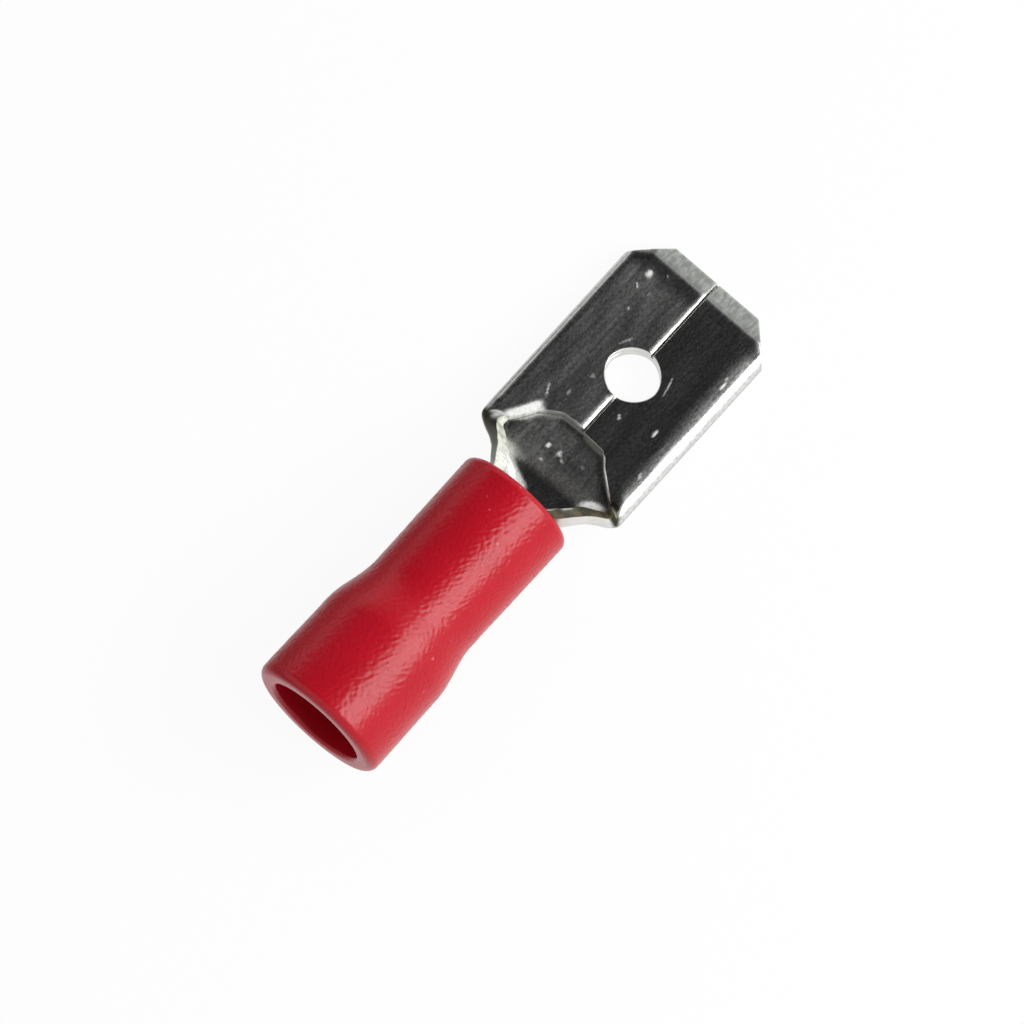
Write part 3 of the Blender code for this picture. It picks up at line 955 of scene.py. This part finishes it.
# Patterns are stretches along and across the sheet, detail and roughness. Places are behind the tip.
tin = {
    "plated": (0.81, 0.82, 0.80),
    "worn": (0.62, 0.64, 0.62),
    # partly the brushed tip's own grey, partly painted shade
    "coinedAndShaded": (0.37, 0.39, 0.36),
    "sheared": (0.86, 0.86, 0.83),
    "archEdge": (0.42, 0.42, 0.40),
    "brassy": (0.74, 0.76, 0.66),
    "greenish": (0.40, 0.43, 0.33),
    "brown": (0.120, 0.100, 0.048),
    # the white of the scuffs and of the painted highlights
    "whiteScuffsAndHighlights": (0.93, 0.93, 0.90),
    "darkTarnishAndShade": (0.052, 0.050, 0.036),
    "grazing": (0.66, 0.66, 0.65),
    "roughness": (0.175, 0.205),
    "streakSwing": 0.015,
    "mottleSwing": 0.022,
    "rougher": {"haze": 0.14, "scuff": 0.35, "bare": 0.25},
    "bevelEnd": (0.59, 0.69),
    "archFrom": (6.80, 6.95),
    "neckFrom": (8.35, 8.60),
    "patterns": (
        (0.25, 1.6, 3.0, 0.55), (1.1, 9.0, 3.0, 0.6), (7.0, 15.0, 4.0, 0.6), (2.4, 5.5, 3.0, 0.55),
        (9.0, 14.0, 3.0, 0.6)),
    "patches": 4000.0,
    "bump": (0.4, 0.0000012),
}
pvc = {
    "deep": (0.440, 0.0012, 0.0115),
    "light": (0.465, 0.0017, 0.0135),
    "grain": (0.85, 0.30, 0.32),
    "grainShare": 0.35,
    "grainSize": 4200.0,
    "grainRarity": 0.775,
    "clouds": 500.0,
    "pores": 9000.0,
    "roughness": (0.26, 0.32),
    "bump": (0.3, 0.000002),
    "sockets": {
        "Subsurface Weight": 0.12,
        "Subsurface Radius": (1.0, 0.12, 0.08),
        "Subsurface Scale": 0.0006,
        "IOR": 1.5,
        "Specular IOR Level": 0.36,
    },
}


def tinRoughness(tree, broad, streaks, mottle, masks):
    rough = addRange(tree, broad, *wholeNoise, *tin["roughness"])
    for fine, swing in ((streaks, tin["streakSwing"]), (mottle, tin["mottleSwing"])):
        rough = addMath(tree, "ADD", rough, addRange(tree, fine, *wholeNoise, -swing, swing))
    for name, rise in tin["rougher"].items():
        rough = addMath(tree, "ADD", rough, addMath(tree, "MULTIPLY", masks[name], rise))
    return rough


def cutEdgeColour(tree, inArch, inNeck, tarnish):
    # the sheared edge of the tab, the dull one of the arch and the raw brass of the neck, brown to
    # near-black where shade is painted
    place = addNode(tree, "ShaderNodeTexCoord").outputs["Object"]
    patchy = addRange(tree, addNoise(tree, place, tin["patches"]), *crispNoise)
    colour = addMix(tree, inArch, tin["sheared"], tin["archEdge"])
    colour = addMix(tree, inNeck, colour, addMix(tree, patchy, tin["brassy"], tin["greenish"]))
    brown = addMix(tree, patchy, tin["brown"], tin["darkTarnishAndShade"])
    return addMix(tree, addRange(tree, tarnish, 0.05, 0.30), colour, brown)


def makeTin():
    material, tree, surface = newMaterial("tinnedBrass")
    masks = {
        name: addNode(tree, "ShaderNodeAttribute", attribute_name=name).outputs["Fac"]
        for name in sheetMasks}
    along, across, scuff, bare, haze, tarnish = masks.values()
    noises = (sheetNoise(tree, along, across, pattern) for pattern in tin["patterns"])
    broad, streaks, mottle, brushed, scratchy = noises
    plug(tree, tinRoughness(tree, broad, streaks, mottle, masks), surface.inputs["Roughness"])

    # the coined tip is brushed lengthwise and streaked; its dark grey is partly painted shade for the dim
    # surround its slope mirrors
    onBevel = addMath(tree, "MULTIPLY", addRange(tree, along, *tin["bevelEnd"], 1.0, 0.0),
                      addRange(tree, brushed, *crispNoise, 1.0, 0.5))
    inArch = addRange(tree, along, *tin["archFrom"])
    inNeck = addRange(tree, along, *tin["neckFrom"])
    colour = addMix(tree, addRange(tree, mottle, *middleNoise, 1.0, 0.0), tin["plated"], tin["worn"])
    colour = addMix(tree, onBevel, colour, tin["coinedAndShaded"])
    # painted shade: near-black on the neck's bends, partly dull brass
    colour = addMix(tree, tarnish, colour, tin["darkTarnishAndShade"])
    cutColour = cutEdgeColour(tree, inArch, inNeck, tarnish)
    colour = addMix(tree, addMath(tree, "MULTIPLY", bare, 0.9), colour, cutColour)
    # white scuffs and painted highlights, in one white
    whiteScuffsAndHighlights = addMath(tree, "MULTIPLY", scuff, addRange(tree, scratchy, 0.36, 0.58, 0.35, 1.0))
    colour = addMix(tree, whiteScuffsAndHighlights, colour, tin["whiteScuffsAndHighlights"])
    plug(tree, colour, surface.inputs["Base Color"])
    # rubbed and raw places, and the painted highlights, scatter light instead of mirroring it
    dull = addMath(tree, "MAXIMUM", whiteScuffsAndHighlights, addMath(tree, "MULTIPLY", bare, inNeck))
    plug(tree, addRange(tree, dull, 0.0, 1.0, 1.0, 0.3), surface.inputs["Metallic"])
    plug(tree, tin["grazing"], surface.inputs["Specular Tint"])

    rise = addMath(tree, "ADD", addMath(tree, "MULTIPLY", streaks, 0.8), mottle)
    addBump(tree, surface, rise, tin["bump"])
    return material


def makePvc():
    material, tree, surface = newMaterial("redPvc")
    place = addNode(tree, "ShaderNodeTexCoord").outputs["Object"]
    clouds = addNoise(tree, place, pvc["clouds"])
    pores = addNoise(tree, place, pvc["pores"], 3.0, 0.6)
    grain = addNode(tree, "ShaderNodeGroup", node_tree=grains)
    for socket, value in (("Vector", place), ("Scale", pvc["grainSize"]), ("Rarity", pvc["grainRarity"])):
        plug(tree, value, grain.inputs[socket])
    grain = grain.outputs["Mask"]
    colour = addMix(tree, addRange(tree, clouds, *middleNoise), pvc["deep"], pvc["light"])
    colour = addMix(tree, addMath(tree, "MULTIPLY", grain, pvc["grainShare"]), colour, pvc["grain"])
    plug(tree, colour, surface.inputs["Base Color"])
    rough = addRange(tree, pores, *wholeNoise, *pvc["roughness"])
    plug(tree, rough, surface.inputs["Roughness"])
    for socket, value in pvc["sockets"].items():
        plug(tree, value, surface.inputs[socket])
    addBump(tree, surface, pores, pvc["bump"])
    return material


# Stage: a pale floor, one wide soft lamp on the right and a light surround with a dark patch overhead,
# which is what the flat tin mirrors. Directions are in the terminal's own axes, angles in degrees.
stage = {
    "floorSize": 0.8,
    "floorColour": (0.86, 0.86, 0.86),
    "floorShine": 0.93,
    "floorMirrored": ((3.0, 1.0), (10.0, 0.15)),
    "darkMiddle": (5.0, 33.0),
    "darkReach": (34.0, 62.0),
    "darkEdge": (0.65, 1.55),
    "surround": 0.95,
    "dark": 0.008,
    "fill": 0.45,
    "lampToward": (0.32, -0.656, 0.755),
    "lampDistance": 150.0,
    "lampSize": (136.0, 98.0),
    "lampRadiance": 5.35,
}
view = {
    "toward": (-0.21, -0.14, 0.968),
    "pixelsPerMm": 28.9,
    "pixels": 1024,
    "entryPixel": (314.6, 722.7),
    "turn": 42.4,
    "distance": 400.0,
}


def raysThatSee(tree):
    outputs = addNode(tree, "ShaderNodeLightPath").outputs
    return [outputs["Is %s Ray" % kind] for kind in ("Camera", "Glossy", "Transmission")]


def buildFloor():
    mesh = bpy.data.meshes.new("floor")
    half = stage["floorSize"] / 2
    corners = [(x * half, y * half, 0) for x, y in ((-1, -1), (1, -1), (1, 1), (-1, 1))]
    mesh.from_pydata(corners, [], [(0, 1, 2, 3)])
    material, tree, surface = newMaterial("paleFloor")
    plug(tree, stage["floorColour"], surface.inputs["Base Color"])
    surface.inputs["Roughness"].default_value = 0.8
    surface.inputs["Specular IOR Level"].default_value = 0.0
    camera, glossy, through = raysThatSee(tree)
    # in reflections the floor darkens away from the terminal on its left
    place = addNode(tree, "ShaderNodeTexCoord").outputs["Object"]
    place = addNode(tree, "ShaderNodeSeparateXYZ", Vector=place)
    (near, bright), (far, dim) = stage["floorMirrored"]
    mirrored = addRange(tree, place.outputs["Y"], near * mm, far * mm, bright, dim)
    glow = addNode(tree, "ShaderNodeEmission", Color=addMix(tree, glossy, (1.0, 1.0, 1.0), mirrored))
    seen = addMath(tree, "MAXIMUM", addMath(tree, "MAXIMUM", camera, glossy), through)
    seen = addMath(tree, "MULTIPLY", seen, stage["floorShine"])
    blend = addNode(tree, "ShaderNodeMixShader", Fac=seen)
    plug(tree, surface.outputs[0], blend.inputs[1])
    plug(tree, glow.outputs[0], blend.inputs[2])
    plug(tree, blend.outputs[0], tree.nodes["Material Output"].inputs["Surface"])
    newPiece("floor", mesh, material)


def angleToward(tree, direction, side, up):
    # how far a direction leans from up towards the side given, in degrees
    leans = []
    for axis in (side, up):
        dot = addNode(tree, "ShaderNodeVectorMath", operation="DOT_PRODUCT")
        plug(tree, direction, dot.inputs[0])
        plug(tree, axis, dot.inputs[1])
        leans.append(dot.outputs["Value"])
    return addMath(tree, "MULTIPLY", addMath(tree, "ARCTAN2", leans[0], leans[1]), 180 / math.pi)


def buildSurround():
    # a dark ellipse in a light dome; rays that only bring soft light see an even fill instead
    world = bpy.data.worlds.new("surround")
    bpy.context.scene.world = world
    world.use_nodes = True
    tree = world.node_tree
    background = tree.nodes["Background"]
    direction = addNode(tree, "ShaderNodeTexCoord").outputs["Generated"]
    squares = []
    for axis, middle, reach in zip(axes[:2], stage["darkMiddle"], stage["darkReach"]):
        lean = angleToward(tree, direction, axis, axes[2])
        lean = addMath(tree, "DIVIDE", addMath(tree, "SUBTRACT", lean, middle), reach)
        squares.append(addMath(tree, "MULTIPLY", lean, lean))
    away = addMath(tree, "SQRT", addMath(tree, "ADD", *squares), 0.0)
    level = addRange(tree, away, *stage["darkEdge"], stage["dark"], stage["surround"])
    camera, glossy, through = raysThatSee(tree)
    mirrored = addMath(tree, "MAXIMUM", glossy, through)
    shown = addMix(tree, mirrored, (stage["fill"],) * 3, level)
    shown = addMix(tree, camera, shown, (1.0, 1.0, 1.0))
    plug(tree, shown, background.inputs["Color"])


def buildLamp():
    width, height = stage["lampSize"]
    lamp = bpy.data.lights.new("softBox", "AREA")
    lamp.shape = "RECTANGLE"
    lamp.size = width * mm
    lamp.size_y = height * mm
    lamp.energy = stage["lampRadiance"] * math.pi * width * height * mm * mm
    toward = toRowDirection(stage["lampToward"])
    place = toRow((terminalLength / 2, 0, 0)) + toward * stage["lampDistance"] * mm
    # the lamp's X runs along the terminal
    ahead = squareTo(toward)
    newObject("softBox", lamp).matrix_world = turnedTo(ahead, np.cross(toward, ahead), toward, place)


def squareTo(toward):
    # the terminal's own direction, made square to the one given
    ahead = axes[0] - (axes[0] @ toward) * toward
    return ahead / np.linalg.norm(ahead)


def turnedTo(x, y, z, place):
    matrix = np.eye(4)
    matrix[:3, 0], matrix[:3, 1], matrix[:3, 2], matrix[:3, 3] = x, y, z, place
    return Matrix(matrix.tolist())


def buildCamera():
    # looks down on the lying terminal, without perspective, at the photograph's scale and turn
    v = view
    camera = bpy.data.cameras.new("camera")
    camera.type = "ORTHO"
    camera.ortho_scale = v["pixels"] / v["pixelsPerMm"] * mm
    camera.clip_start = 0.01
    camera.clip_end = 2.0
    toward = toRowDirection(v["toward"])
    level = squareTo(toward)
    beside = np.cross(level, toward)
    turn = math.radians(v["turn"])
    # the terminal's own direction points up the picture before the camera is turned
    upward = level * math.cos(turn) - beside * math.sin(turn)
    rightward = level * math.sin(turn) + beside * math.cos(turn)
    shiftX = (v["pixels"] / 2 - v["entryPixel"][0]) / v["pixelsPerMm"]
    shiftY = (v["entryPixel"][1] - v["pixels"] / 2) / v["pixelsPerMm"]
    place = origin + (rightward * shiftX + upward * shiftY + toward * v["distance"]) * mm
    seat = newObject("camera", camera)
    seat.matrix_world = turnedTo(rightward, upward, toward, place)
    bpy.context.scene.camera = seat


bpy.context.scene.view_settings.view_transform = "Standard"
buildCamera()
buildFloor()
buildSurround()
buildLamp()
print("stage ready")
terminalPiece = buildTerminal(makeTin())
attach(terminalPiece, "root")
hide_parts("folded_terminal")
print("terminal ready")
sleevePiece = buildSleeve(makePvc())
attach(sleevePiece, "root")
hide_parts("insulating_sleeve")
print("sleeve ready")
